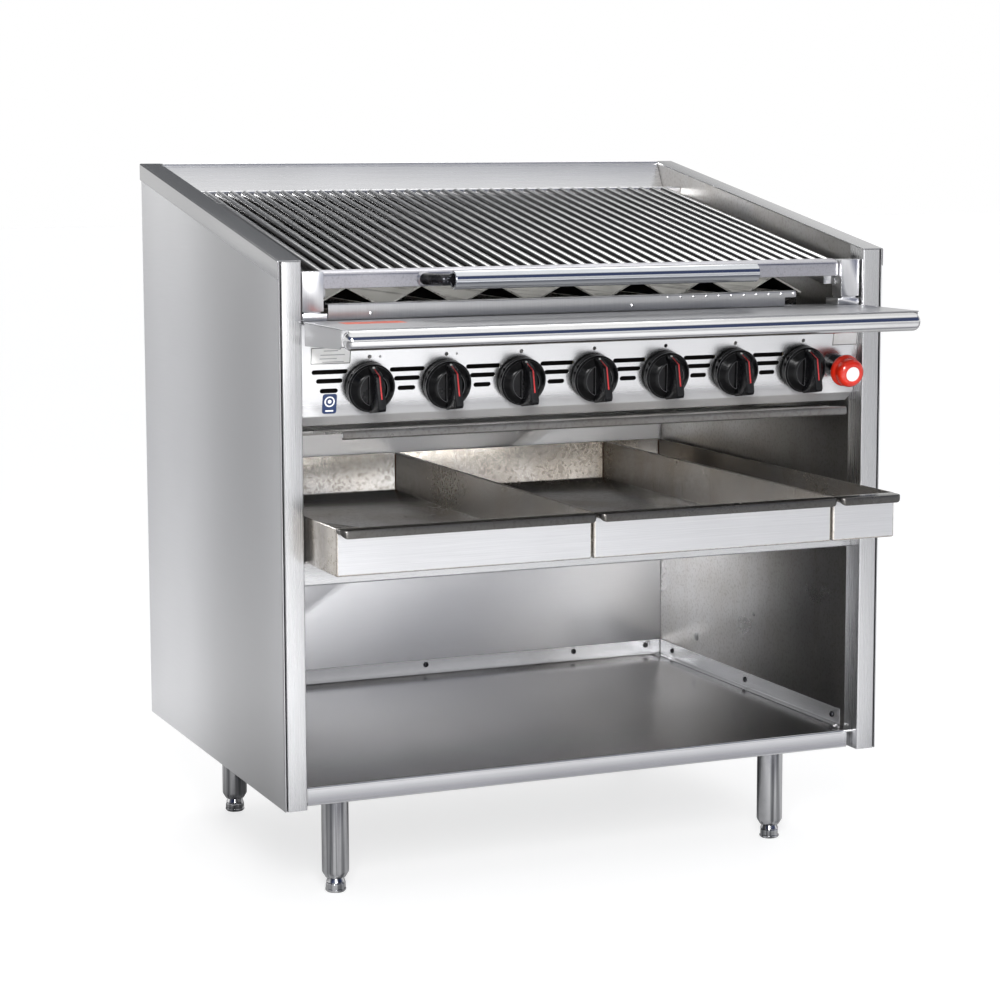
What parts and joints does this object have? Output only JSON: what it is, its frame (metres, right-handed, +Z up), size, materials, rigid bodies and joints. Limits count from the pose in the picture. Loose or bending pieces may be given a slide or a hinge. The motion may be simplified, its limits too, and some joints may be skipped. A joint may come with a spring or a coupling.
{
  "type": "charbroiler grill",
  "caption": "Free-standing gas radiant charbroiler: sloping bar grate that lifts by a front handle, knob panel under a work deck, slide-out water pans and an open cabinet base.",
  "frame": {"origin": "on the floor, under the middle of the bounding box", "axes": "+X to the right of a person at the front, +Y to the rear, +Z up"},
  "size_m": [0.9144, 0.8328, 1.008],
  "materials": {
    "brushed_steel": "fine brushed stainless",
    "polished_steel": "polished stainless",
    "heat_tinted_steel": "stainless stained by heat and fat",
    "plated_steel": "zinc plated",
    "radiant_steel": "stainless with a straw heat tint",
    "cast_iron": "sand cast",
    "blackened_steel": "satin blackened",
    "gas_brass": "satin",
    "black_plastic": "moulded satin black",
    "red_plastic": "moulded red"
  },
  "bodies": {
    "cabinet": {"back_panel": "plated_steel", "backsplash": "brushed_steel", "base_frame": "plated_steel", "bottom_shelf": "brushed_steel", "burner_1": "cast_iron", "burner_2": "cast_iron", "burner_3": "cast_iron", "burner_4": "cast_iron", "burner_5": "cast_iron", "burner_6": "cast_iron", "burner_7": "cast_iron", "control_panel": "brushed_steel", "deck_nose": "polished_steel", "drip_deflector": "heat_tinted_steel", "fire_rail_front": "heat_tinted_steel", "fire_rail_rear": "heat_tinted_steel", "front_riser": "brushed_steel", "gas_manifold": "gas_brass", "grate_pivot_rod": "plated_steel", "grate_support_left": "brushed_steel", "grate_support_right": "brushed_steel", "inner_back_wall": "brushed_steel", "inner_wall_left": "heat_tinted_steel", "inner_wall_right": "heat_tinted_steel", "leg_front_left": "polished_steel", "leg_front_right": "polished_steel", "leg_rear_left": "polished_steel", "leg_rear_right": "polished_steel", "pan_frame": "brushed_steel", "radiant_1": "radiant_steel", "radiant_2": "radiant_steel", "radiant_3": "radiant_steel", "radiant_4": "radiant_steel", "radiant_5": "radiant_steel", "radiant_6": "radiant_steel", "radiant_7": "radiant_steel", "safety_valve": "black_plastic", "side_panel_left": "brushed_steel", "side_panel_right": "brushed_steel", "top_cap_left": "brushed_steel", "top_cap_right": "brushed_steel", "work_deck": "brushed_steel"},
    "knob_1": {"knob_1": "black_plastic"},
    "knob_2": {"knob_2": "black_plastic"},
    "knob_3": {"knob_3": "black_plastic"},
    "knob_4": {"knob_4": "black_plastic"},
    "knob_5": {"knob_5": "black_plastic"},
    "knob_6": {"knob_6": "black_plastic"},
    "knob_7": {"knob_7": "black_plastic"},
    "grate": {"grate": "polished_steel", "grate_handle": "blackened_steel"},
    "handle_sleeve": {"handle_sleeve": "polished_steel"},
    "water_pan_left": {"water_pan_left": "heat_tinted_steel"},
    "water_pan_middle": {"water_pan_middle": "heat_tinted_steel"},
    "water_pan_right": {"water_pan_right": "heat_tinted_steel"},
    "foot_front_left": {"foot_front_left": "polished_steel"},
    "foot_front_right": {"foot_front_right": "polished_steel"},
    "foot_rear_left": {"foot_rear_left": "polished_steel"},
    "foot_rear_right": {"foot_rear_right": "polished_steel"},
    "safety_button": {"safety_button": "red_plastic"}
  },
  "joints": [
    {"name": "knob_1_turn", "type": "hinge", "parent": "cabinet", "child": "knob_1", "pos_m": [-0.3268, -0.23435, 0.7165], "axis": [0, -0.9848, -0.1736], "range_deg": [0, 90]},
    {"name": "knob_2_turn", "type": "hinge", "parent": "cabinet", "child": "knob_2", "pos_m": [-0.2168, -0.23435, 0.7165], "axis": [0, -0.9848, -0.1736], "range_deg": [0, 90]},
    {"name": "knob_3_turn", "type": "hinge", "parent": "cabinet", "child": "knob_3", "pos_m": [-0.1068, -0.23435, 0.7165], "axis": [0, -0.9848, -0.1736], "range_deg": [0, 90]},
    {"name": "knob_4_turn", "type": "hinge", "parent": "cabinet", "child": "knob_4", "pos_m": [0.0032, -0.23435, 0.7165], "axis": [0, -0.9848, -0.1736], "range_deg": [0, 90]},
    {"name": "knob_5_turn", "type": "hinge", "parent": "cabinet", "child": "knob_5", "pos_m": [0.1132, -0.23435, 0.7165], "axis": [0, -0.9848, -0.1736], "range_deg": [0, 90]},
    {"name": "knob_6_turn", "type": "hinge", "parent": "cabinet", "child": "knob_6", "pos_m": [0.2232, -0.23435, 0.7165], "axis": [0, -0.9848, -0.1736], "range_deg": [0, 90]},
    {"name": "knob_7_turn", "type": "hinge", "parent": "cabinet", "child": "knob_7", "pos_m": [0.3332, -0.23435, 0.7165], "axis": [0, -0.9848, -0.1736], "range_deg": [0, 90]},
    {"name": "grate_tilt", "type": "hinge", "parent": "cabinet", "child": "grate", "pos_m": [0, 0.30235, 0.94209], "axis": [-1, 0, 0], "range_deg": [0, 20]},
    {"name": "sleeve_spin", "type": "hinge", "parent": "grate", "child": "handle_sleeve", "pos_m": [0, -0.28765, 0.857], "axis": [1, 0, 0], "continuous": true},
    {"name": "water_pan_left_slide", "type": "slide", "parent": "cabinet", "child": "water_pan_left", "axis": [0, -1, 0], "range_m": [0, 0.5]},
    {"name": "water_pan_middle_slide", "type": "slide", "parent": "cabinet", "child": "water_pan_middle", "axis": [0, -1, 0], "range_m": [0, 0.5]},
    {"name": "water_pan_right_slide", "type": "slide", "parent": "cabinet", "child": "water_pan_right", "axis": [0, -1, 0], "range_m": [0, 0.5]},
    {"name": "foot_front_left_adjust", "type": "slide", "parent": "cabinet", "child": "foot_front_left", "axis": [0, 0, -1], "range_m": [0, 0.038]},
    {"name": "foot_front_right_adjust", "type": "slide", "parent": "cabinet", "child": "foot_front_right", "axis": [0, 0, -1], "range_m": [0, 0.038]},
    {"name": "foot_rear_left_adjust", "type": "slide", "parent": "cabinet", "child": "foot_rear_left", "axis": [0, 0, -1], "range_m": [0, 0.038]},
    {"name": "foot_rear_right_adjust", "type": "slide", "parent": "cabinet", "child": "foot_rear_right", "axis": [0, 0, -1], "range_m": [0, 0.038]},
    {"name": "safety_button_press", "type": "slide", "parent": "cabinet", "child": "safety_button", "axis": [0, 0.9848, 0.1736], "range_m": [0, 0.006], "stiffness_N_per_m": 500, "springref_m": -0.006}
  ]
}
